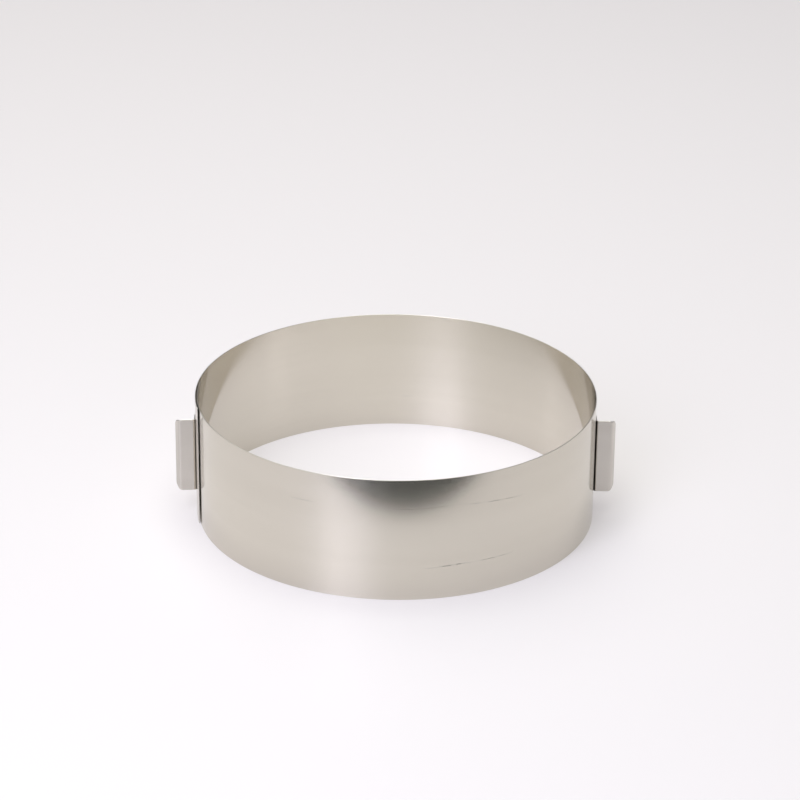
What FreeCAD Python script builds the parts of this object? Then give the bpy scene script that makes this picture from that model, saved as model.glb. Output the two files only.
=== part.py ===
"""Adjustable pastry ring: a coiled strip of thin sheet steel with two folded grips.

Lengths are millimetres and angles degrees. +Z is up and the rim that stands on the table lies in
z = 0. The origin is the centre of the ring in that plane, +X points to the right grip and -Y is
the front. Angles of places round the ring are counted from +X towards the back.
"""
import FreeCAD, Part
import math
import os

import Sketcher
from FreeCAD import Vector

doc = FreeCAD.newDocument("pastry_ring")

# Driving dimensions: alias, value, what it is
SIZES = [
    ("ring_diameter", 268.0, "outside of the ring's long turn"),
    ("band_height", 85.0, "height of the strip"),
    ("band_thick", 0.5, "thickness of the strip"),
    ("lap_gap", 0.7, "air between the two layers where the strip laps over itself"),
    ("join_angle", -12.0, "where the long turn passes into the tighter turn that slips inside"),
    ("outer_end_angle", 192.0, "where the outer layer ends, just in front of the left grip"),
    ("inner_end_angle", 173.0, "where the inner layer ends, behind the left grip"),
    ("end_corner", 1.0, "corner radius of both strip ends"),
    ("grip_thick", 0.8, "thickness of the grip sheet"),
    ("grip_height", 52.0, "height of a grip, centred on the strip"),
    ("right_grip_angle", -2.3, "back face of the right grip's plate"),
    ("left_grip_angle", 184.1, "back face of the left grip's plate"),
    ("flange_length", 8.5, "welded flange, along the strip"),
    ("flange_corner", 2.0, "corner radius of the flange's free end"),
    ("root_bend", 1.0, "inside radius of the bend between flange and plate"),
    ("plate_reach", 10.0, "from the strip to the start of the lip's bend"),
    ("lip_bend", 1.2, "inside radius of the bend between plate and lip"),
    ("lip_turn", 65.0, "angle the lip is folded back by"),
    ("lip_length", 4.0, "straight part of the lip"),
    ("grip_corner", 4.5, "corner radius of the grip's outer edge, seen from the front"),
    ("weld_count", 3, "spot welds on each flange"),
    ("weld_pitch", 18.0, "height between spot welds"),
    ("weld_width", 3.0, "width of a spot weld's dimple"),
    ("weld_depth", 0.25, "depth of a spot weld's dimple"),
]

# Worked out in the sheet from the driving dimensions
DERIVED = [
    ("ring_radius", "=ring_diameter / 2", "outer face of the long turn"),
    ("lap_pitch", "=band_thick + lap_gap", "from layer to layer where the strip laps"),
    ("flange_radius", "=ring_radius + grip_thick", "outer face of a flange"),
    ("lip_centre", "=ring_radius + plate_reach", "centre of the lip's bend"),
    ("lip_edge", "=lip_centre + (lip_bend + grip_thick) * sin(lip_turn)"
                 " + lip_length * cos(lip_turn)", "outermost edge of the lip"),
    ("flange_span", "=flange_length / ring_radius * 180 / pi", "angle that a flange covers"),
    ("weld_angle", "=asin(root_bend / (flange_radius + root_bend)) / 1 deg + flange_span / 2",
     "middle of a flange, from the back of its plate"),
    ("weld_ball", "=(weld_width ^ 2 / 4 + weld_depth ^ 2) / (2 * weld_depth)",
     "radius of the round electrode tip that leaves the dimple"),
    ("weld_distance", "=flange_radius + weld_ball - weld_depth", "from the ring's centre to that tip's"),
]


def fill_sheet():
    """The spreadsheet that drives the model."""
    table = doc.addObject("Spreadsheet::Sheet", "sizes")
    rows = [(alias, str(value), note) for alias, value, note in SIZES] + DERIVED
    for row, (alias, content, note) in enumerate(rows, start=1):
        table.set(f"A{row}", alias)
        table.set(f"B{row}", content)
        table.setAlias(f"B{row}", alias)
        table.set(f"C{row}", note)
    doc.recompute()
    return table


sizes = fill_sheet()


def size(alias):
    """A value of the sheet, for the first draft of a sketch and for picking edges."""
    return float(sizes.get(alias))


def polar(centre, radius, angle):
    """The point at an angle, in radians, on a circle in the sketch plane."""
    return centre + Vector(radius * math.cos(angle), radius * math.sin(angle), 0)


def add_arc(sketch, centre, radius, first, last):
    """Draw an arc anticlockwise from one angle to another, in radians."""
    circle = Part.Circle(centre, Vector(0, 0, 1), radius)
    return sketch.addGeometry(Part.ArcOfCircle(circle, first, last), False)


def add_line(sketch, start, end):
    """Draw a straight line."""
    return sketch.addGeometry(Part.LineSegment(start, end), False)


def drive(sketch, name, constraint, formula):
    """Add a dimension to a sketch and bind it to the sheet."""
    index = sketch.addConstraint(constraint)
    sketch.renameConstraint(index, name)
    sketch.setExpression(f"Constraints.{name}", formula)


def new_body(label):
    """An empty body, which is one piece of the ring."""
    body = doc.addObject("PartDesign::Body", label)
    body.Label = label
    return body


def origin_feature(body, role):
    """One of the body's own origin planes or axes."""
    return next(item for item in body.Origin.OriginFeatures if item.Role == role)


def new_sketch(body, name, role):
    """An empty sketch on one of the body's own origin planes."""
    sketch = body.newObject("Sketcher::SketchObject", name)
    sketch.AttachmentSupport = [(origin_feature(body, role), "")]
    sketch.MapMode = "FlatFace"
    return sketch


def round_corners(body, pad, name, thick, reach, formula):
    """Round the corners of a padded sheet no further than a reach from the ring's centre.

    They are the short edges across the sheet's thickness, where a cut end meets a rim.
    """
    corners = [f"Edge{number}" for number, edge in enumerate(pad.Shape.Edges, start=1)
               if abs(edge.Length - thick) < thick / 100
               and math.hypot(edge.CenterOfMass.x, edge.CenterOfMass.y) < reach]
    rounding = body.newObject("PartDesign::Fillet", name)
    rounding.Base = (pad, corners)
    rounding.setExpression("Radius", formula)
    body.Tip = rounding


# Ends of sketch elements and the sketch's own axes, as constraints name them
START, END, CENTRE = 1, 2, 3
ORIGIN, X_AXIS = -1, -1


def make_band():
    """The coiled strip, drawn from above and padded to its height.

    It is a long turn and a slightly tighter turn, tangent where they meet on the sketch's +X axis.
    Both centres lie on that axis, so half a turn on the tighter one has slipped one lap pitch
    inside. The body is turned about Z to bring the lap to the left of the ring.
    """
    body = new_body("ring_band")
    body.setExpression("Placement",
                       "placement(vector(0; 0; 0); rotation(vector(0; 0; 1); sizes.join_angle))")
    sketch = new_sketch(body, "strip_from_above", "XY_Plane")

    radius = size("ring_radius")
    thick = size("band_thick")
    shift = size("lap_pitch") / 2
    long_last = math.radians(size("outer_end_angle") - size("join_angle"))
    tight_first = math.radians(size("inner_end_angle") - size("join_angle"))
    long_centre = Vector(0, 0, 0)
    tight_centre = Vector(shift, 0, 0)

    long_out = add_arc(sketch, long_centre, radius, 0, long_last)
    long_in = add_arc(sketch, long_centre, radius - thick, 0, long_last)
    tight_out = add_arc(sketch, tight_centre, radius - shift, tight_first, 2 * math.pi)
    tight_in = add_arc(sketch, tight_centre, radius - shift - thick, tight_first, 2 * math.pi)
    outer_end = add_line(sketch, polar(long_centre, radius, long_last),
                         polar(long_centre, radius - thick, long_last))
    inner_end = add_line(sketch, polar(tight_centre, radius - shift, tight_first),
                         polar(tight_centre, radius - shift - thick, tight_first))

    sketch.addConstraint([
        Sketcher.Constraint("Coincident", long_out, CENTRE, ORIGIN, START),
        Sketcher.Constraint("Coincident", long_in, CENTRE, ORIGIN, START),
        Sketcher.Constraint("PointOnObject", long_out, START, X_AXIS),
        Sketcher.Constraint("PointOnObject", long_in, START, X_AXIS),
        Sketcher.Constraint("PointOnObject", tight_out, CENTRE, X_AXIS),
        Sketcher.Constraint("Coincident", tight_in, CENTRE, tight_out, CENTRE),
        Sketcher.Constraint("Coincident", tight_out, END, long_out, START),
        Sketcher.Constraint("Coincident", tight_in, END, long_in, START),
        Sketcher.Constraint("Coincident", outer_end, START, long_out, END),
        Sketcher.Constraint("Coincident", outer_end, END, long_in, END),
        Sketcher.Constraint("Coincident", inner_end, START, tight_out, START),
        Sketcher.Constraint("Coincident", inner_end, END, tight_in, START),
    ])
    drive(sketch, "long_radius", Sketcher.Constraint("Radius", long_out, radius), "sizes.ring_radius")
    drive(sketch, "long_inside", Sketcher.Constraint("Radius", long_in, radius - thick),
          "sizes.ring_radius - sizes.band_thick")
    drive(sketch, "tight_shift", Sketcher.Constraint("DistanceX", ORIGIN, START, tight_out, CENTRE, shift),
          "sizes.lap_pitch / 2")
    for name, arc in (("long_out_span", long_out), ("long_in_span", long_in)):
        drive(sketch, name, Sketcher.Constraint("Angle", arc, long_last),
              "sizes.outer_end_angle - sizes.join_angle")
    for name, arc in (("tight_out_span", tight_out), ("tight_in_span", tight_in)):
        drive(sketch, name, Sketcher.Constraint("Angle", arc, 2 * math.pi - tight_first),
              "360 - sizes.inner_end_angle + sizes.join_angle")

    pad = body.newObject("PartDesign::Pad", "strip")
    pad.Profile = sketch
    pad.setExpression("Length", "sizes.band_height")
    doc.recompute()

    # Both ends of the strip lie within its own radius, so all of its corners are rounded
    round_corners(body, pad, "end_corners", thick, radius, "sizes.end_corner")
    return body


def draw_grip_fold(sketch):
    """The folded sheet of a grip from above: flange, root bend, plate, lip bend and lip.

    The ring's centre is the origin, the flange lies on the ring's outer face, the back of the
    plate runs outwards along +X, and flange and lip are both folded back, towards +Y.
    """
    thick = size("grip_thick")
    root = size("root_bend")
    bend = size("lip_bend")
    span = math.radians(size("flange_span"))
    turn = math.radians(size("lip_turn"))
    flange_in_radius = size("ring_radius")
    flange_out_radius = size("flange_radius")

    middle = Vector(0, 0, 0)
    root_centre = Vector(math.sqrt((flange_out_radius + root) ** 2 - root ** 2), root, 0)
    root_angle = math.atan2(root_centre.y, root_centre.x)
    lip_centre = Vector(size("lip_centre"), bend, 0)
    along_lip = Vector(math.cos(turn), math.sin(turn), 0) * size("lip_length")

    flange_in = add_arc(sketch, middle, flange_in_radius, root_angle, root_angle + span)
    flange_out = add_arc(sketch, middle, flange_out_radius, root_angle, root_angle + span)
    root_in = add_arc(sketch, root_centre, root, math.pi + root_angle, 1.5 * math.pi)
    root_out = add_arc(sketch, root_centre, root + thick, math.pi + root_angle, 1.5 * math.pi)
    plate_back = add_line(sketch, Vector(root_centre.x, 0, 0), Vector(lip_centre.x, 0, 0))
    plate_front = add_line(sketch, Vector(root_centre.x, -thick, 0), Vector(lip_centre.x, -thick, 0))
    bend_in = add_arc(sketch, lip_centre, bend, -0.5 * math.pi, turn - 0.5 * math.pi)
    bend_out = add_arc(sketch, lip_centre, bend + thick, -0.5 * math.pi, turn - 0.5 * math.pi)
    lip_in_start = polar(lip_centre, bend, turn - 0.5 * math.pi)
    lip_out_start = polar(lip_centre, bend + thick, turn - 0.5 * math.pi)
    lip_in = add_line(sketch, lip_in_start, lip_in_start + along_lip)
    lip_out = add_line(sketch, lip_out_start, lip_out_start + along_lip)
    lip_end = add_line(sketch, lip_in_start + along_lip, lip_out_start + along_lip)
    flange_end = add_line(sketch, polar(middle, flange_in_radius, root_angle + span),
                          polar(middle, flange_out_radius, root_angle + span))

    sketch.addConstraint([
        Sketcher.Constraint("Coincident", flange_in, CENTRE, ORIGIN, START),
        Sketcher.Constraint("Coincident", flange_out, CENTRE, ORIGIN, START),
        Sketcher.Constraint("Coincident", root_out, CENTRE, root_in, CENTRE),
        Sketcher.Constraint("Coincident", bend_out, CENTRE, bend_in, CENTRE),
        Sketcher.Constraint("Coincident", flange_end, START, flange_in, END),
        Sketcher.Constraint("Coincident", flange_end, END, flange_out, END),
        Sketcher.Constraint("Coincident", lip_end, START, lip_in, END),
        Sketcher.Constraint("Coincident", lip_end, END, lip_out, END),
        Sketcher.Constraint("Tangent", flange_in, START, root_out, START),
        Sketcher.Constraint("Tangent", flange_out, START, root_in, START),
        Sketcher.Constraint("Tangent", root_in, END, plate_back, START),
        Sketcher.Constraint("Tangent", root_out, END, plate_front, START),
        Sketcher.Constraint("Tangent", plate_back, END, bend_in, START),
        Sketcher.Constraint("Tangent", plate_front, END, bend_out, START),
        Sketcher.Constraint("Tangent", bend_in, END, lip_in, START),
        Sketcher.Constraint("Tangent", bend_out, END, lip_out, START),
        Sketcher.Constraint("PointOnObject", plate_back, START, X_AXIS),
        Sketcher.Constraint("PointOnObject", plate_back, END, X_AXIS),
        Sketcher.Constraint("Horizontal", plate_front),
        Sketcher.Constraint("Parallel", lip_in, lip_out),
        Sketcher.Constraint("Perpendicular", lip_in, lip_end),
    ])
    drive(sketch, "flange_inside", Sketcher.Constraint("Radius", flange_in, flange_in_radius),
          "sizes.ring_radius")
    drive(sketch, "flange_outside", Sketcher.Constraint("Radius", flange_out, flange_out_radius),
          "sizes.flange_radius")
    drive(sketch, "root_bend", Sketcher.Constraint("Radius", root_in, root), "sizes.root_bend")
    drive(sketch, "lip_bend", Sketcher.Constraint("Radius", bend_in, bend), "sizes.lip_bend")
    drive(sketch, "lip_centre",
          Sketcher.Constraint("DistanceX", ORIGIN, START, bend_in, CENTRE, lip_centre.x),
          "sizes.lip_centre")
    drive(sketch, "lip_turn", Sketcher.Constraint("Angle", lip_in, turn), "sizes.lip_turn")
    drive(sketch, "lip_length", Sketcher.Constraint("Distance", lip_in, size("lip_length")),
          "sizes.lip_length")
    drive(sketch, "flange_in_span", Sketcher.Constraint("Angle", flange_in, span), "sizes.flange_span")
    drive(sketch, "flange_out_span", Sketcher.Constraint("Angle", flange_out, span), "sizes.flange_span")


def draw_grip_corner(sketch):
    """What is cut off the upper outer corner of a grip, seen from the front."""
    corner = size("grip_corner")
    centre = Vector(size("lip_edge") - corner, size("grip_height") / 2 - corner, 0)
    right = Vector(corner, 0, 0)
    up = Vector(0, corner, 0)

    rounding = add_arc(sketch, centre, corner, 0, 0.5 * math.pi)
    rise = add_line(sketch, centre + up, centre + up * 2)
    top = add_line(sketch, centre + up * 2, centre + up * 2 + right * 2)
    side = add_line(sketch, centre + up * 2 + right * 2, centre + right * 2)
    back = add_line(sketch, centre + right * 2, centre + right)

    sketch.addConstraint([
        Sketcher.Constraint("Coincident", rounding, END, rise, START),
        Sketcher.Constraint("Coincident", rise, END, top, START),
        Sketcher.Constraint("Coincident", top, END, side, START),
        Sketcher.Constraint("Coincident", side, END, back, START),
        Sketcher.Constraint("Coincident", back, END, rounding, START),
        Sketcher.Constraint("Horizontal", rounding, CENTRE, rounding, START),
        Sketcher.Constraint("Vertical", rounding, CENTRE, rounding, END),
        Sketcher.Constraint("Vertical", rise),
        Sketcher.Constraint("Horizontal", top),
        Sketcher.Constraint("Vertical", side),
        Sketcher.Constraint("Horizontal", back),
        Sketcher.Constraint("Equal", rise, back),
    ])
    drive(sketch, "corner", Sketcher.Constraint("Radius", rounding, corner), "sizes.grip_corner")
    drive(sketch, "clear_past_the_edge", Sketcher.Constraint("Distance", rise, corner), "sizes.grip_corner")
    drive(sketch, "corner_out", Sketcher.Constraint("DistanceX", ORIGIN, START, rounding, CENTRE, centre.x),
          "sizes.lip_edge - sizes.grip_corner")
    drive(sketch, "corner_up", Sketcher.Constraint("DistanceY", ORIGIN, START, rounding, CENTRE, centre.y),
          "sizes.grip_height / 2 - sizes.grip_corner")


def make_grip(label, turned):
    """A grip, padded both ways from the middle of the strip's height and then turned into place.

    Both grips are the same stamping. The left one stands on its head, which brings its flange to
    the back of its plate as well.
    """
    body = new_body(label)
    body.setExpression("Placement", f"placement(vector(0; 0; sizes.band_height / 2); {turned})")

    fold = new_sketch(body, f"{label}_fold", "XY_Plane")
    draw_grip_fold(fold)
    sheet = body.newObject("PartDesign::Pad", f"{label}_sheet")
    sheet.Profile = fold
    sheet.SideType = "Symmetric"
    sheet.setExpression("Length", "sizes.grip_height")
    doc.recompute()

    # The flange's corners lie within its outer face, and the lip's further out
    round_corners(body, sheet, f"{label}_flange_corners", size("grip_thick"), size("flange_radius"),
                  "sizes.flange_corner")

    corner = new_sketch(body, f"{label}_corner", "XZ_Plane")
    draw_grip_corner(corner)
    upper = body.newObject("PartDesign::Pocket", f"{label}_upper_corner")
    upper.Profile = corner
    upper.Type = "ThroughAll"
    upper.SideType = "Symmetric"

    lower = body.newObject("PartDesign::Mirrored", f"{label}_lower_corner")
    lower.Originals = [upper]
    lower.MirrorPlane = (origin_feature(body, "XY_Plane"), [""])
    body.Tip = lower

    # A spot weld leaves the round tip of its electrode in the outside of the flange
    dimple = body.newObject("PartDesign::SubtractiveSphere", f"{label}_lowest_weld")
    dimple.setExpression("Radius", "sizes.weld_ball")
    dimple.setExpression("Placement", "placement(vector(sizes.weld_distance * cos(sizes.weld_angle);"
                         " sizes.weld_distance * sin(sizes.weld_angle);"
                         " -sizes.weld_pitch * (sizes.weld_count - 1) / 2); rotation(vector(0; 0; 1); 0))")
    row = body.newObject("PartDesign::LinearPattern", f"{label}_welds")
    row.Originals = [dimple]
    row.Direction = (origin_feature(body, "Z_Axis"), [""])
    row.setExpression("Length", "sizes.weld_pitch * (sizes.weld_count - 1)")
    row.setExpression("Occurrences", "sizes.weld_count")
    body.Tip = row
    return body


def check_model(bodies):
    """Stop before anything is written if a step of the model failed."""
    for item in doc.Objects:
        if "Invalid" in item.State or "Error" in item.State:
            raise RuntimeError(f"{item.Label} failed: {item.State}")
    for body in bodies:
        if body.Shape.isNull() or not body.Shape.isValid():
            raise RuntimeError(f"{body.Label} has no valid shape")


upside_down = "rotation(vector(1; 0; 0); 180)"
bodies = [
    make_band(),
    make_grip("right_grip", "rotation(vector(0; 0; 1); sizes.right_grip_angle)"),
    make_grip("left_grip", f"rotation(vector(0; 0; 1); sizes.left_grip_angle) * {upside_down}"),
]
doc.recompute()
check_model(bodies)

os.makedirs("parts", exist_ok=True)
for body in bodies:
    body.Shape.exportStep(f"parts/{body.Label}.step")
    print(body.Label, round(body.Shape.Volume), "cubic millimetres", body.Shape.BoundBox)
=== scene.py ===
"""An adjustable pastry ring of sheet steel on a white studio table. Lengths are metres."""
import math

import bpy
import numpy as np
from mathutils import Matrix, Vector


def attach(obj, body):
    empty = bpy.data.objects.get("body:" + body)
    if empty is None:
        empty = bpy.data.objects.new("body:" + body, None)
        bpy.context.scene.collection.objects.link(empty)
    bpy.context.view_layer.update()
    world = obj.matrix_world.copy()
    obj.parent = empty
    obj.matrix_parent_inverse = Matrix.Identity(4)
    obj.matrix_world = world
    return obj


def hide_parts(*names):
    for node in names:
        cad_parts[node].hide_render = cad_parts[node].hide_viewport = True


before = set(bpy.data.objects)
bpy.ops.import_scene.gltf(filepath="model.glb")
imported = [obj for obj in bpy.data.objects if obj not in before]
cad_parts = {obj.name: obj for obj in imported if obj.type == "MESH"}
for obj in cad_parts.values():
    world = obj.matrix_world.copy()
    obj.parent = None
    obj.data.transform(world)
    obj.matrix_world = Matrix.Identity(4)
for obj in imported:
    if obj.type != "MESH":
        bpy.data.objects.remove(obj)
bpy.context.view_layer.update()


# The strip. One long strip of springy stainless steel, rolled to half a millimetre, slit to its
# width and coiled into a ring. Its inner end slips behind the left grip inside the outer layer;
# nothing but its own spring holds it, and the grips pull it wider or closer.
strip_height = 0.085
strip_thick = 0.0005
long_radius = 0.134
lap_pitch = 0.0012
join_angle = math.radians(-12)
outer_end = math.radians(192)
inner_end = math.radians(173)
strip_corner = 0.001
sheared_edge = 0.00012
# Middle lines of the two turns, and how far the strip runs on each
wide_radius = long_radius - strip_thick / 2
tight_radius = wide_radius - lap_pitch / 2
tight_turn = join_angle + 2 * math.pi - inner_end
tight_length = tight_radius * tight_turn
strip_length = tight_length + wide_radius * (outer_end - join_angle)


def edge_run(length, fine, step):
    """Distances along a piece from one end to the other: 0 and the given small ones at both ends,
    then even steps no longer than `step` between them."""
    start = fine[-1]
    count = int(math.ceil((length - 2 * start) / step))
    middle = np.linspace(start, length - start, count + 1)[1:-1]
    return np.concatenate([[0.0], fine, middle, length - fine[::-1], [length]])


def corner_drop(distance, radius):
    """How far a round corner has fallen back at a distance from the end: r - sqrt(r^2 - (r-d)^2)
    inside the radius and nothing beyond it."""
    inside = np.clip(radius - distance, 0, radius)
    return radius - np.sqrt(radius ** 2 - inside ** 2)


def closed_sheet(name, along, middle, across, half_height, level, thick, edge, rows):
    """A thin sheet stood on edge along a line, as one closed surface over (along, round).

    At every point of the line stands the sheet's cut section, a flat loop with four quarter-round
    corners: sideways n = side * (thick/2 - edge + edge * cos a) and upwards
    z = (half_height - edge) * rise + edge * sin a, where side is +1 on one face and -1 on the
    other, rise runs from -1 to +1 up the face and a is the corner's angle. The edge radius shrinks
    towards both ends, which rounds the end cuts too, and a ladder of faces closes each of them.
    """
    quarter = np.radians([0, 30, 60, 90])
    angle = np.concatenate([-quarter[::-1], np.zeros(len(rows)), quarter])
    rise = np.concatenate([-np.ones(len(quarter)), rows, np.ones(len(quarter))])
    side = np.repeat([1.0, -1.0], len(angle))
    angle = np.concatenate([angle, angle[::-1]])
    rise = np.concatenate([rise, rise[::-1]])

    to_end = np.minimum(along, along[-1] - along)
    deepest = 0.74 * edge
    draw_in = np.minimum(corner_drop(to_end, edge), deepest)[:, None]
    n = side * (thick / 2 - edge + (edge - draw_in) * np.cos(angle))
    flat = middle[:, None, :] + across[:, None, :] * n[..., None]
    half = half_height(along[:, None], flat[..., 0])
    z = (half - edge) * rise + (edge - draw_in) * np.sin(angle)
    points = np.concatenate([flat, (level + z)[..., None]], axis=2)

    # Faces between neighbouring stations, then the ladders across both ends
    stations, turn = n.shape
    index = np.arange(stations * turn).reshape(stations, turn)
    after = np.roll(index, -1, axis=1)
    skin = np.stack([index[:-1], index[1:], after[1:], after[:-1]], axis=-1).reshape(-1, 4)
    k = np.arange(turn // 2 - 1)
    rungs = np.stack([k, k + 1, turn - 2 - k, turn - 1 - k], axis=-1)
    faces = np.concatenate([skin, rungs, rungs[:, ::-1] + index[-1, 0]])

    # The unrolled sheet: u along the line, v round the section
    centre = stations // 2
    step = np.hypot(np.diff(n[centre], append=n[centre, 0]), np.diff(z[centre], append=z[centre, 0]))
    v = np.concatenate([[0], np.cumsum(step)])
    u = np.repeat(along[:, None], turn + 1, axis=1)
    u0, u1, v0, v1 = u[:-1, :-1], u[1:, :-1], v[:-1], v[1:]
    v0, v1 = np.broadcast_to(v0, u0.shape), np.broadcast_to(v1, u0.shape)
    skin_uv = np.stack([np.stack([u0, v0], -1), np.stack([u1, v0], -1),
                        np.stack([u1, v1], -1), np.stack([u0, v1], -1)], axis=2).reshape(-1, 4, 2)
    v_face = np.minimum(v[:-1], v[:-1][::-1])
    first_uv = np.stack([along[0] - thick + n[0][rungs], v_face[rungs]], axis=-1)
    last_uv = np.stack([along[-1] + thick + n[-1][rungs[:, ::-1]], v_face[rungs[:, ::-1]]], axis=-1)
    uv = np.concatenate([skin_uv, first_uv, last_uv])

    mesh = bpy.data.meshes.new(name)
    mesh.from_pydata(points.reshape(-1, 3), [], faces, shade_flat=False)
    mesh.uv_layers.new(name="rolled").uv.foreach_set("vector", uv.astype(np.float32).ravel())
    to_rim = np.minimum(half - np.abs(z), to_end[:, None])
    edge_values = mesh.attributes.new("to_edge", "FLOAT", "POINT").data
    edge_values.foreach_set("value", to_rim.ravel().astype(np.float32))
    mesh.validate()
    return mesh


def coil_line(along):
    """The strip's middle line from its inner end, seen from above, with its outward normals.

    A tight turn about a centre half a lap pitch from the middle, towards the join, and from the
    join on a long turn about the middle itself; the two touch there. The angle grows by
    distance / radius on each."""
    toward_join = np.array([math.cos(join_angle), math.sin(join_angle)])
    before = along <= tight_length
    angle = np.where(before, inner_end + along / tight_radius,
                     inner_end + tight_turn + (along - tight_length) / wide_radius)
    outward = np.stack([np.cos(angle), np.sin(angle)], axis=-1)
    centre = np.where(before[:, None], toward_join * lap_pitch / 2, 0.0)
    return centre + outward * np.where(before, tight_radius, wide_radius)[:, None], outward


# Stations over the rounded cut at an end, then over the end's corners, then evenly on
cut_steps = np.array([0.000028, 0.000069, 0.00012])
corner_steps = np.array([0.00016, 0.00024, 0.00038, 0.00055, 0.00075, 0.001, 0.00105, 0.0016, 0.003])
even_step = 0.0011
strip_along = edge_run(strip_length, np.concatenate([cut_steps, corner_steps]), even_step)
strip_middle, strip_outward = coil_line(strip_along)
# Rows up the face, closer together towards both rims: how far each lies from its rim
from_rim = np.array([0.0004, 0.004, 0.012, 0.035, 0.1, 0.22, 0.4, 0.65, 0.82])
strip_rows = np.concatenate([from_rim - 1, [0], (1 - from_rim)[::-1]])


def strip_half(along, x):
    """Half the strip's height, less the fall of its end corners."""
    return strip_height / 2 - corner_drop(np.minimum(along, strip_length - along), strip_corner)


strip = bpy.data.objects.new("coiled_strip", closed_sheet(
    "coiled_strip", strip_along, strip_middle, strip_outward, strip_half, strip_height / 2,
    strip_thick, sheared_edge, strip_rows))
bpy.context.collection.objects.link(strip)


def add_node(tree, kind, **settings):
    """A shader node with its properties set; in_ and a number or a name sets that input socket."""
    node = tree.nodes.new("ShaderNode" + kind)
    for key, value in settings.items():
        if key.startswith("in_"):
            label = key[3:]
            socket = node.inputs[int(label) if label.isdigit() else label.replace("_", " ")]
            if isinstance(value, bpy.types.NodeSocket):
                tree.links.new(value, socket)
            else:
                socket.default_value = value
        else:
            setattr(node, key, value)
    return node


def math_node(tree, operation, first, second=0.5, third=0.5):
    """One sum on one to three values or sockets."""
    return add_node(tree, "Math", operation=operation, in_0=first, in_1=second, in_2=third).outputs[0]


def new_group(name, inputs, outputs):
    """An empty shader node group with its named sockets; inputs give kind and starting value."""
    tree = bpy.data.node_groups.new(name, "ShaderNodeTree")
    for label, (kind, value) in inputs.items():
        socket = tree.interface.new_socket(label, in_out="INPUT", socket_type="NodeSocket" + kind)
        if value is not None:
            socket.default_value = value
    for label, kind in outputs.items():
        tree.interface.new_socket(label, in_out="OUTPUT", socket_type="NodeSocket" + kind)
    return tree, tree.nodes.new("NodeGroupInput").outputs, tree.nodes.new("NodeGroupOutput").inputs


def streak_noise(tree, place, along, across, detail, offset):
    """Noise stretched along the rolling: so many cells to the metre along it and across it."""
    mapped = add_node(tree, "Mapping", vector_type="POINT", in_Vector=place, in_Scale=(along, across, 1),
                      in_Location=(offset, offset * 1.7, 0)).outputs[0]
    return add_node(tree, "TexNoise", noise_dimensions="2D", in_Vector=mapped, in_Scale=1.0, in_Detail=detail,
                    in_Roughness=0.55).outputs[0]


def build_rolling():
    """Grain of cold-rolled sheet: satin pits too fine to be told apart, drawn lines, wide faint
    stripes and the slow waves that coiling leaves."""
    tree, given, result = new_group(
        "rolled grain", {"Place": ("Vector", None), "Seed": ("Float", 0.0)},
        {"Satin": "Float", "Lines": "Float", "Stripes": "Float", "Waves": "Float"})
    shift = add_node(tree, "CombineXYZ", in_0=given["Seed"], in_1=given["Seed"]).outputs[0]
    place = add_node(tree, "VectorMath", operation="ADD", in_0=given["Place"], in_1=shift).outputs[0]
    tree.links.new(streak_noise(tree, place, 5000, 60000, 1.0, 3.0), result["Satin"])
    tree.links.new(streak_noise(tree, place, 9, 1500, 2.0, 7.0), result["Lines"])
    tree.links.new(streak_noise(tree, place, 2.2, 90, 2.0, 11.0), result["Stripes"])
    tree.links.new(streak_noise(tree, place, 26, 9, 1.0, 19.0), result["Waves"])
    return tree


def build_worn_edge():
    """Bright rubbed metal along a cut edge, broken up along its length."""
    tree, given, result = new_group(
        "worn edge", {"Place": ("Vector", None), "To Edge": ("Float", 1.0), "Width": ("Float", 0.0005)},
        {"Mask": "Float"})
    patchy = add_node(tree, "TexNoise", noise_dimensions="2D", in_Vector=given["Place"], in_Scale=240.0,
                      in_Detail=3.0).outputs[0]
    reach = math_node(tree, "MULTIPLY", given["Width"], math_node(tree, "MULTIPLY_ADD", patchy, 2.4, -0.4))
    part = math_node(tree, "DIVIDE", given["To Edge"], math_node(tree, "MAXIMUM", reach, 1e-6))
    tree.links.new(add_node(tree, "MapRange", interpolation_type="SMOOTHSTEP", in_0=part, in_1=0.35, in_2=1.0,
                            in_3=1.0, in_4=0.0).outputs[0], result["Mask"])
    return tree


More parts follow.
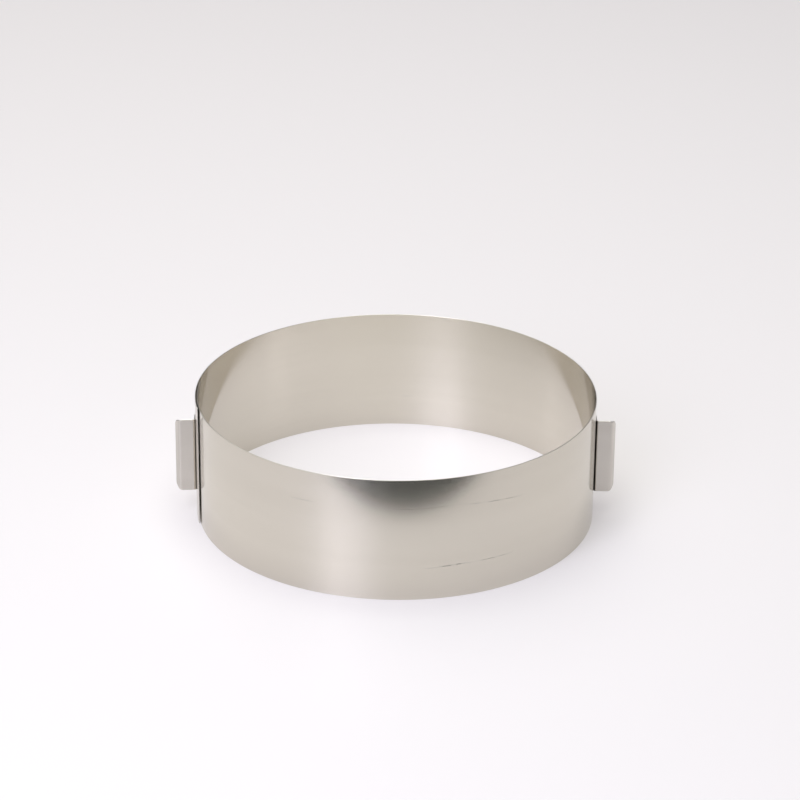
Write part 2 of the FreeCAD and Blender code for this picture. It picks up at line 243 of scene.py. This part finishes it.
def build_scratch():
    """One hairline scratch from Start to End on the unrolled sheet: near 1 within Width of the
    line, fading out, thinner towards both ends and broken where the tool skipped."""
    places = {"Place": ("Vector", None), "Start": ("Vector", None), "End": ("Vector", None)}
    tree, given, result = new_group(
        "hairline scratch", {**places, "Width": ("Float", 0.0002)}, {"Mask": "Float"})
    to_point = add_node(tree, "VectorMath", operation="SUBTRACT",
                        in_0=given["Place"], in_1=given["Start"]).outputs[0]
    run = add_node(tree, "VectorMath", operation="SUBTRACT",
                   in_0=given["End"], in_1=given["Start"]).outputs[0]
    dot = add_node(tree, "VectorMath", operation="DOT_PRODUCT", in_0=to_point, in_1=run).outputs["Value"]
    square = add_node(tree, "VectorMath", operation="DOT_PRODUCT", in_0=run, in_1=run).outputs["Value"]
    part = add_node(tree, "Math", operation="DIVIDE", use_clamp=True, in_0=dot, in_1=square).outputs[0]
    nearest = add_node(tree, "VectorMath", operation="SCALE", in_0=run, in_Scale=part).outputs[0]
    away = add_node(tree, "VectorMath", operation="DISTANCE", in_0=to_point, in_1=nearest).outputs["Value"]
    belly = math_node(tree, "MULTIPLY", part, math_node(tree, "SUBTRACT", 1.0, part))
    width = math_node(tree, "MULTIPLY", given["Width"], math_node(tree, "MULTIPLY_ADD", belly, 3.0, 0.35))
    reached = math_node(tree, "DIVIDE", away, width)
    line = add_node(tree, "MapRange", interpolation_type="SMOOTHSTEP", in_0=reached,
                    in_1=0.3, in_2=1.0, in_3=1.0, in_4=0.0).outputs[0]
    skip = add_node(tree, "TexNoise", noise_dimensions="2D", in_Vector=given["Place"], in_Scale=160.0,
                    in_Detail=2.0).outputs[0]
    kept = add_node(tree, "MapRange", in_0=skip, in_1=0.3, in_2=0.55, in_3=0.15, in_4=1.0).outputs[0]
    tree.links.new(math_node(tree, "MULTIPLY", line, kept), result["Mask"])
    return tree


rolled_grain = build_rolling()
worn_edge = build_worn_edge()
hairline = build_scratch()


def place_group(tree, group, **inputs):
    """A node group in a material, with its sockets set or linked by name."""
    node = tree.nodes.new("ShaderNodeGroup")
    node.node_tree = group
    for key, value in inputs.items():
        socket = node.inputs[key.replace("_", " ")]
        if isinstance(value, bpy.types.NodeSocket):
            tree.links.new(value, socket)
        else:
            socket.default_value = value
    return node.outputs


def blend_colour(tree, factor, first, second):
    """One colour over another by a mask."""
    node = tree.nodes.new("ShaderNodeMix")
    node.data_type = "RGBA"
    for socket, value in ((node.inputs[0], factor), (node.inputs[6], first), (node.inputs[7], second)):
        if isinstance(value, bpy.types.NodeSocket):
            tree.links.new(value, socket)
        else:
            socket.default_value = value
    return node.outputs[2]


def strongest(tree, masks):
    """The largest of several masks."""
    top = masks[0]
    for mask in masks[1:]:
        top = math_node(tree, "MAXIMUM", top, mask)
    return top


# How far a rounded rim runs on the unrolled section; three of them come before the inside face
rim_wrap = 0.0002


def on_strip(angle, height, inside=False):
    """Where a place on the ring lies on the unrolled strip, for marks: its angle in degrees from
    the right, its height, and whether it is on the face inside the ring."""
    turned = math.radians(angle)
    if turned > join_angle:
        u = tight_length + wide_radius * (turned - join_angle)
    else:
        u = tight_radius * (turned + 2 * math.pi - inner_end)
    if inside:
        return (u, strip_height * 2 + 3 * rim_wrap - height, 0)
    return (u, height + rim_wrap, 0)


# Marks of use: scratches, with where each starts and ends and how wide it is, and small pits with
# their sizes
strip_scratches = [
    (on_strip(-91, 0.0645), on_strip(-73, 0.0656), 0.00036),
    (on_strip(-73, 0.0654), on_strip(-52.4, 0.0622), 0.00036),
    (on_strip(-81.7, 0.0219), on_strip(-68.6, 0.0232), 0.00034),
    (on_strip(-77.5, 0.0226), on_strip(-70.5, 0.0231), 0.00075),
    (on_strip(-70, 0.0228), on_strip(-55.3, 0.0232), 0.00038),
    (on_strip(-120, 0.0641), on_strip(-113, 0.0642), 0.00028),
    (on_strip(121.2, 0.004, True), on_strip(120.9, 0.0075, True), 0.00030),
    (on_strip(88.4, 0.0219, True), on_strip(85.5, 0.0221, True), 0.00030),
    (on_strip(76.5, 0.0838, True), on_strip(73.6, 0.0833, True), 0.00040),
]
strip_pits = [
    (on_strip(-130.3, 0.072), 0.00045),
    (on_strip(-89.8, 0.0489), 0.00040),
    (on_strip(-93.3, 0.0451), 0.00035),
    (on_strip(-97.6, 0.0216), 0.00045),
    (on_strip(127.3, 0.0711, True), 0.00045),
    (on_strip(-77.8, 0.0233), 0.0008),
]
# The right grip's three welds show inside as round marks; the left grip's lie between the layers
right_weld_angle = -0.06
weld_pitch = 0.018
weld_width = 0.003
electrode_marks = [(on_strip(right_weld_angle, strip_height / 2 + step * weld_pitch, True), weld_width)
                   for step in (-1, 0, 1)]


# How far the drawn lines, the waves, a scratch and a weld mark stand up or sink
line_height = 0.0000002
wave_height = 0.00001
scratch_depth = 0.000004
press_depth = 0.00003
# Width of the rubbed band along a cut edge
worn_width = 0.0005


def rolled_steel(name, colour, deep, edge_colour, smooth, satin, seed, marks=(), pits=(), presses=()):
    """Rolled stainless steel. Most of the face is nearly a mirror along the rolling and soft across
    it; a fine satin grain lies between, cut edges are rougher and paler, and scratches and pits
    rougher and darker. A painted shade, near black, darkens the steel where the attribute "groove"
    is high, and presses are the round marks that spot welds leave."""
    material = bpy.data.materials.new(name)
    material.use_nodes = True
    tree = material.node_tree
    shader = tree.nodes["Principled BSDF"]
    place = add_node(tree, "UVMap", uv_map="rolled").outputs[0]
    grain = place_group(tree, rolled_grain, Place=place, Seed=seed)
    to_edge = add_node(tree, "Attribute", attribute_name="to_edge").outputs["Fac"]
    worn = place_group(tree, worn_edge, Place=place, To_Edge=to_edge, Width=worn_width)["Mask"]
    cut = add_node(tree, "MapRange", interpolation_type="SMOOTHSTEP", in_0=to_edge,
                   in_1=0.00006, in_2=0.00014, in_3=1.0, in_4=0.0).outputs[0]
    # A pit is a scratch as long as it is wide
    lines = list(marks) + [(spot, (spot[0] + size, spot[1], 0), size) for spot, size in pits]
    scratched = [place_group(tree, hairline, Place=place, Start=start, End=end, Width=width)["Mask"]
                 for start, end, width in lines]

    tone = math_node(tree, "MULTIPLY_ADD", grain["Stripes"], 0.55,
                     math_node(tree, "MULTIPLY", grain["Lines"], 0.45))
    tone = add_node(tree, "MapRange", in_0=tone, in_1=0.3, in_2=0.7, in_3=0.0, in_4=1.0).outputs[0]
    base = blend_colour(tree, tone, deep, colour)
    base = blend_colour(tree, math_node(tree, "MULTIPLY", worn, 0.35), base, edge_colour)
    base = blend_colour(tree, math_node(tree, "MULTIPLY", cut, 0.8), base, edge_colour)

    # The satin grain takes a small share of the face, which gives the gloss its wide skirt
    grainy = add_node(tree, "MapRange", interpolation_type="SMOOTHSTEP", in_0=grain["Satin"],
                      in_1=0.59, in_2=0.65, in_3=smooth, in_4=satin).outputs[0]
    band = math_node(tree, "MULTIPLY_ADD", grain["Lines"], 0.02, -0.01)
    rough = math_node(tree, "ADD", grainy, band)
    rough = math_node(tree, "MAXIMUM", rough, math_node(tree, "MULTIPLY", cut, 0.42))
    rough = math_node(tree, "MAXIMUM", rough, math_node(tree, "MULTIPLY", worn, 0.30))
    height = math_node(tree, "MULTIPLY", grain["Lines"], line_height)
    height = math_node(tree, "MULTIPLY_ADD", grain["Waves"], wave_height, height)
    if scratched:
        mark = strongest(tree, scratched)
        base = blend_colour(tree, math_node(tree, "MULTIPLY", mark, 0.48), base,
                            (deep[0] * 0.5, deep[1] * 0.5, deep[2] * 0.53, 1))
        rough = math_node(tree, "MAXIMUM", rough, math_node(tree, "MULTIPLY", mark, 0.3))
        height = math_node(tree, "MULTIPLY_ADD", mark, -scratch_depth, height)
    for spot, width in presses:
        away = add_node(tree, "VectorMath", operation="DISTANCE", in_0=place, in_1=spot).outputs["Value"]
        press = add_node(tree, "MapRange", interpolation_type="SMOOTHSTEP", in_0=away, in_1=width * 0.32,
                         in_2=width * 0.5, in_3=1.0, in_4=0.0).outputs[0]
        base = blend_colour(tree, math_node(tree, "MULTIPLY", press, 0.25), base, deep)
        rough = math_node(tree, "MAXIMUM", rough, math_node(tree, "MULTIPLY", press, 0.24))
        height = math_node(tree, "MULTIPLY_ADD", press, -press_depth, height)
    # Painted shade: the steel is darkened nearly to black in the groove between a grip's root bend and the
    # strip
    groove = add_node(tree, "Attribute", attribute_name="groove").outputs["Fac"]
    painted_shade = add_node(tree, "MapRange", interpolation_type="SMOOTHSTEP", in_0=groove, in_1=0.22, in_2=0.5,
                    in_3=0.0, in_4=1.0).outputs[0]
    base = blend_colour(tree, painted_shade, base, (0.045, 0.042, 0.038, 1))
    rough = math_node(tree, "MAXIMUM", rough, math_node(tree, "MULTIPLY", painted_shade, 0.5))
    tree.links.new(base, shader.inputs["Base Color"])
    tree.links.new(rough, shader.inputs["Roughness"])
    bump = add_node(tree, "Bump", in_Strength=1.0, in_Distance=1.0, in_Height=height)
    tree.links.new(bump.outputs[0], shader.inputs["Normal"])
    shader.inputs["Metallic"].default_value = 1.0
    shader.inputs["Anisotropic"].default_value = 1.0
    shader.inputs["Anisotropic Rotation"].default_value = 0.25
    along = add_node(tree, "Tangent", direction_type="UV_MAP", uv_map="rolled")
    tree.links.new(along.outputs[0], shader.inputs["Tangent"])
    return material


strip_steel = rolled_steel("rolled strip steel", (0.705, 0.668, 0.588, 1), (0.68, 0.643, 0.563, 1),
                           (0.70, 0.68, 0.63, 1), smooth=0.105, satin=0.5, seed=0.0,
                           marks=strip_scratches, pits=strip_pits, presses=electrode_marks)
strip.data.materials.append(strip_steel)
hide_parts("ring_band")
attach(strip, "root")


# The grips. Two equal pieces of thicker stainless sheet, folded: a flange that hugs the strip, a
# plate that stands out to be held, and a lip turned back so that its cut edge is out of the way.
# Each is spot-welded through its flange at three places; the left one is the same piece upside down.
grip_thick = 0.0008
grip_height = 0.052
flange_length = 0.0085
flange_corner = 0.002
root_bend = 0.001
lip_centre_x = 0.144
lip_bend = 0.0012
lip_turn = math.radians(65)
lip_length = 0.004
grip_corner = 0.0045
weld_depth = 0.00025
# Where the stations of a flat stretch start: just past its bend or its rounded cut, and where
# they are even
bend_step = 0.00003
past_cut = 0.00017
flat_step = 0.0004
# How near a point must be to a face to count as on it
on_face = 2e-5


def arc_line(centre, radius, first, last, count):
    """Points of an arc, with the directions in which the distance along it grows."""
    angle = np.linspace(first, last, count)
    spread = np.stack([np.cos(angle), np.sin(angle)], axis=-1)
    ahead = np.stack([-np.sin(angle), np.cos(angle)], axis=-1) * np.sign(last - first)
    return np.asarray(centre) + radius * spread, ahead


def fold_line():
    """The grip's middle line seen from above, as an arc, a bend, a straight, a bend and a straight.

    The flange follows the strip at half a thickness outside it, the root bend turns it outwards,
    the plate runs along +x half a thickness in front of y = 0, and the lip turns back."""
    half = grip_thick / 2
    flange = long_radius + half
    root_x = math.sqrt((long_radius + grip_thick + root_bend) ** 2 - root_bend ** 2)
    root_angle = math.atan2(root_bend, root_x)
    span = flange_length / long_radius
    free_end = np.concatenate([[0], cut_steps, [past_cut]])
    free = np.concatenate([free_end, np.linspace(flat_step, flange_length, 30)])
    angle = root_angle + span * (1 - free / flange_length)
    hug = flange * np.stack([np.cos(angle), np.sin(angle)], axis=-1)
    hug_ahead = np.stack([np.sin(angle), -np.cos(angle)], axis=-1)
    root, root_ahead = arc_line((root_x, root_bend), root_bend + half, math.pi + root_angle,
                                1.5 * math.pi, 15)
    plate_length = lip_centre_x - root_x
    plate_x = root_x + np.concatenate([[bend_step], np.linspace(flat_step, plate_length - flat_step, 24),
                                       [plate_length - bend_step]])
    plate = np.stack([plate_x, np.full_like(plate_x, -half)], axis=-1)
    bend, bend_ahead = arc_line((lip_centre_x, lip_bend), lip_bend + half, -0.5 * math.pi,
                                lip_turn - 0.5 * math.pi, 13)
    lip_ahead = np.array([math.cos(lip_turn), math.sin(lip_turn)])
    lip_flat = np.linspace(0.0003, 0.0033, 14)
    to_free_end = np.concatenate([[flat_step], free_end[::-1]])
    out = np.concatenate([[bend_step], lip_flat, lip_length - to_free_end])
    lip = bend[-1] + out[:, None] * lip_ahead
    points = np.concatenate([hug, root[1:], plate, bend, lip])
    ahead = np.concatenate([hug_ahead, root_ahead[1:], np.tile([1.0, 0.0], (len(plate), 1)), bend_ahead,
                            np.tile(lip_ahead, (len(lip), 1))])
    distance = np.concatenate([[0], np.cumsum(np.hypot(*np.diff(points, axis=0).T))])
    return distance, points, np.stack([-ahead[:, 1], ahead[:, 0]], axis=-1)


lip_edge = lip_centre_x + (lip_bend + grip_thick) * math.sin(lip_turn) + lip_length * math.cos(lip_turn)


def grip_half(along, x):
    """Half the grip's height: full, less the fall of the flange's free corners along the sheet and
    of the large corners at the outer edge, which are round as seen from the front."""
    to_edge = lip_edge - x
    return grip_height / 2 - corner_drop(to_edge, grip_corner) - corner_drop(along, flange_corner)


def read_points(mesh):
    """The mesh's points as an array of x, y and z."""
    points = np.empty(len(mesh.vertices) * 3, dtype=np.float32)
    mesh.vertices.foreach_get("co", points)
    return points.reshape(-1, 3).astype(float)


# Middle of a flange, as an angle from the back of its plate
weld_angle = math.asin(root_bend / (long_radius + grip_thick + root_bend)) + 0.5 * flange_length / long_radius


def press_welds(mesh):
    """Sink the round tips of the welding electrodes into the outside of the flange: depth falls as
    1 - (r / radius)^2 from the middle of each weld."""
    points = read_points(mesh)
    outer = long_radius + grip_thick
    distance = np.hypot(points[:, 0], points[:, 1])
    around = (np.arctan2(points[:, 1], points[:, 0]) - weld_angle) * outer
    up = np.abs((points[:, 2] + 1.5 * weld_pitch) % weld_pitch - 0.5 * weld_pitch)
    inside = np.abs(points[:, 2]) < 1.5 * weld_pitch
    r = np.hypot(around, up) / (weld_width / 2)
    depth = weld_depth * np.clip(1 - r ** 2, 0, 1) * (np.abs(distance - outer) < on_face) * inside
    points[:, :2] *= (1 - depth / distance)[:, None]
    mesh.vertices.foreach_set("co", points.astype(np.float32).ravel())
    mesh.update()


def mark_groove_shade(mesh, share):
    """How deep a point lies in the groove between the root bend and the strip, for the painted shade
    there: 0 where the plate starts, `share` where the bend's outer face meets the strip, and 0 on all other
    faces."""
    points = read_points(mesh)
    reach = root_bend + grip_thick
    centre_x = math.sqrt((long_radius + reach) ** 2 - root_bend ** 2)
    from_centre = np.hypot(points[:, 0] - centre_x, points[:, 1] - root_bend)
    outer_face = (np.abs(from_centre - reach) < on_face) & (points[:, 0] < centre_x)
    depth = np.where(outer_face, share * (centre_x - points[:, 0]) / reach, 0.0)
    mesh.attributes.new("groove", "FLOAT", "POINT").data.foreach_set("value", depth.astype(np.float32))


def make_grip(name, turned, groove_shade_strength):
    """One folded grip, turned into place about the ring's centre and lifted to the strip's middle;
    the last argument says how dark the shade painted in its groove is, up to 1."""
    along, middle, across = fold_line()
    # Even rows, close enough together for the round dimples, and two more beside each rim
    even_rows = np.linspace(-0.99, 0.99, 151)
    rows = np.concatenate([[-0.9993, -0.997], even_rows, [0.997, 0.9993]])
    mesh = closed_sheet(name, along, middle, across, grip_half, 0.0, grip_thick, sheared_edge, rows)
    press_welds(mesh)
    mark_groove_shade(mesh, groove_shade_strength)
    mesh.transform(Matrix.Translation((0, 0, strip_height / 2)) @ turned)
    grip = bpy.data.objects.new(name, mesh)
    bpy.context.collection.objects.link(grip)
    return grip


right_turn = Matrix.Rotation(math.radians(-2.3), 4, "Z")
left_turn = Matrix.Rotation(math.radians(184.1), 4, "Z") @ Matrix.Rotation(math.pi, 4, "X")
# How dark the shade painted in each grip's groove is: full on the right, under half on the left
right_grip = make_grip("right_folded_grip", right_turn, 1.0)
left_grip = make_grip("left_folded_grip", left_turn, 0.45)

grip_steel = rolled_steel("folded grip steel", (0.63, 0.60, 0.555, 1), (0.585, 0.555, 0.51, 1),
                          (0.74, 0.72, 0.68, 1), smooth=0.20, satin=0.26, seed=4.0)
for grip, node in ((right_grip, "right_grip"), (left_grip, "left_grip")):
    grip.data.materials.append(grip_steel)
    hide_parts(node)
    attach(grip, "root")


# The table: one plain white sheet with a half-matt face. It runs on far behind the ring, so that
# no edge shows.
table_reach = 6.0


def looked_at(tree):
    """1 for what is seen straight, mirrored or through something, and 0 for what only lights."""
    ray = add_node(tree, "LightPath").outputs
    mirrored = math_node(tree, "MAXIMUM", ray["Is Glossy Ray"], ray["Is Transmission Ray"])
    return math_node(tree, "MAXIMUM", ray["Is Camera Ray"], mirrored)


table_mesh = bpy.data.meshes.new("white_table")
corners = np.array([[-1, -1, 0], [1, -1, 0], [1, 1, 0], [-1, 1, 0]]) * table_reach
table_mesh.from_pydata(corners, [], [(0, 1, 2, 3)])
table = bpy.data.objects.new("white_table", table_mesh)
bpy.context.collection.objects.link(table)
table_white = bpy.data.materials.new("half-matt white table")
table_white.use_nodes = True
table_tree = table_white.node_tree
table_shader = table_tree.nodes["Principled BSDF"]
table_shader.inputs["Base Color"].default_value = (0.93, 0.915, 0.925, 1)
table_shader.inputs["Roughness"].default_value = 0.36
# Seen by the camera or in the steel, a third of the table's white is plain and the rest is lit
plain_share = math_node(table_tree, "MULTIPLY", looked_at(table_tree), 0.35)
plain_white = add_node(table_tree, "Emission", in_Color=(0.94, 0.89, 0.93, 1), in_Strength=1.0)
table_mix = add_node(table_tree, "MixShader", in_0=plain_share,
                     in_1=table_shader.outputs[0], in_2=plain_white.outputs[0])
table_tree.links.new(table_mix.outputs[0], table_tree.nodes["Material Output"].inputs["Surface"])
table_mesh.materials.append(table_white)


# The light: a dim even white surround, a wide soft light overhead and two high behind, and three
# tall ones side by side at the left of the camera, which the bright upright bands on the steel
# come from.
surround = bpy.data.worlds.new("white surround")
surround.use_nodes = True
sky_tree = surround.node_tree
sky = sky_tree.nodes["Background"]
sky.inputs["Color"].default_value = (1.0, 0.985, 0.99, 1)
# How bright the surround is as light, and how much brighter where it is seen or mirrored
sky_light = 0.06
sky_seen = 0.25
sky_strength = math_node(sky_tree, "MULTIPLY_ADD", looked_at(sky_tree), sky_seen, sky_light)
sky_tree.links.new(sky_strength, sky.inputs["Strength"])
bpy.context.scene.world = surround
lit_point = Vector((0, 0, 0.04))


def soft_light(name, azimuth, elevation, distance, width, height, radiance, colour):
    """A rectangle of even light that faces the middle of the ring. Its angles say where it hangs:
    azimuth in degrees from the camera's side, + to the right, and elevation in degrees. Power is
    4 x area x radiance."""
    lamp = bpy.data.lights.new(name, "AREA")
    lamp.shape = "RECTANGLE"
    lamp.size, lamp.size_y = width, height
    lamp.energy = 4 * width * height * radiance
    lamp.color = colour
    turn, lift = math.radians(azimuth), math.radians(elevation)
    away = Vector((math.sin(turn) * math.cos(lift), -math.cos(turn) * math.cos(lift), math.sin(lift)))
    light = bpy.data.objects.new(name, lamp)
    light.location = lit_point + away * distance
    light.rotation_euler = away.to_track_quat("Z", "Y").to_euler()
    bpy.context.collection.objects.link(light)
    light.visible_camera = False


# Azimuth, elevation, distance, width, height, radiance and colour of each
soft_light("overhead_softbox", 0, 86, 2.4, 1.8, 1.8, 2.95, (0.99, 1.0, 0.92))
soft_light("back_high_softbox", -150, 55, 2.4, 2.0, 1.8, 1.1, (1, 0.96, 0.87))
soft_light("back_softbox", 180, 65, 2.4, 2.0, 1.2, 0.35, (0.9, 0.9, 1.0))
soft_light("left_tall_softbox", -28, 40, 1.8, 0.6, 1.4, 2.2, (0.83, 0.82, 1.0))
soft_light("left_wide_softbox", -30, 34, 1.8, 1.25, 1.2, 1.0, (0.74, 0.76, 1.0))
soft_light("left_edge_softbox", -36, 42, 1.8, 0.4, 1.3, 1.9, (0.9, 0.86, 1.0))


# The dark flag: a thin black board that lies on the table in front of the view. Its reflection
# darkens the steel under the front rim, and nothing else shows it.
flag_mesh = bpy.data.meshes.new("dark_flag")
flag_level = 0.002
flag_outline = [(-0.35, -0.283), (-0.35, -2.2), (1.5, -2.2), (1.5, -0.22), (0.6, -0.22), (0.25, -0.238)]
flag_corners = [(x, y, flag_level) for x, y in flag_outline]
flag_mesh.from_pydata(flag_corners, [], [(0, 1, 2, 3, 4, 5)])
flag = bpy.data.objects.new("dark_flag", flag_mesh)
bpy.context.collection.objects.link(flag)
flag_black = bpy.data.materials.new("black flag")
flag_black.use_nodes = True
flag_tree = flag_black.node_tree
flag_shader = flag_tree.nodes["Principled BSDF"]
flag_shader.inputs["Base Color"].default_value = (0.004, 0.012, 0.012, 1)
flag_shader.inputs["Roughness"].default_value = 0.9
flag_shader.inputs["Specular IOR Level"].default_value = 0.0
# Only its upper side shows, so the table under it stays white
flag_mix = add_node(flag_tree, "MixShader", in_0=add_node(flag_tree, "NewGeometry").outputs["Backfacing"],
                    in_1=flag_shader.outputs[0],
                    in_2=add_node(flag_tree, "BsdfTransparent").outputs[0])
flag_tree.links.new(flag_mix.outputs[0], flag_tree.nodes["Material Output"].inputs["Surface"])
flag_mesh.materials.append(flag_black)
flag.visible_camera = flag.visible_diffuse = flag.visible_shadow = False


# The camera: a long lens that looks down on the ring's front from a fair way off, at the tilt and
# roll that lay both rims over those in the photograph.
camera_data = bpy.data.cameras.new("camera")
camera_data.lens = 142.3
camera_data.sensor_width = 36
camera_data.clip_end = 50
camera = bpy.data.objects.new("camera", camera_data)
bpy.context.collection.objects.link(camera)
tilt = math.radians(24.61)
roll = 0.0100
aim = Vector((0.0028, 0, 0.0798))
stand_off = 2.1142
back = Vector((0, -math.cos(tilt), math.sin(tilt)))
right = (-back).cross(Vector((0, 0, 1))).normalized()
up = right.cross(-back)
side = math.cos(roll) * right + math.sin(roll) * up
above = -math.sin(roll) * right + math.cos(roll) * up
facing = Matrix((side, above, back)).transposed().to_4x4()
camera.matrix_world = Matrix.Translation(aim + back * stand_off) @ facing
bpy.context.scene.camera = camera
bpy.context.scene.view_settings.view_transform = "Standard"
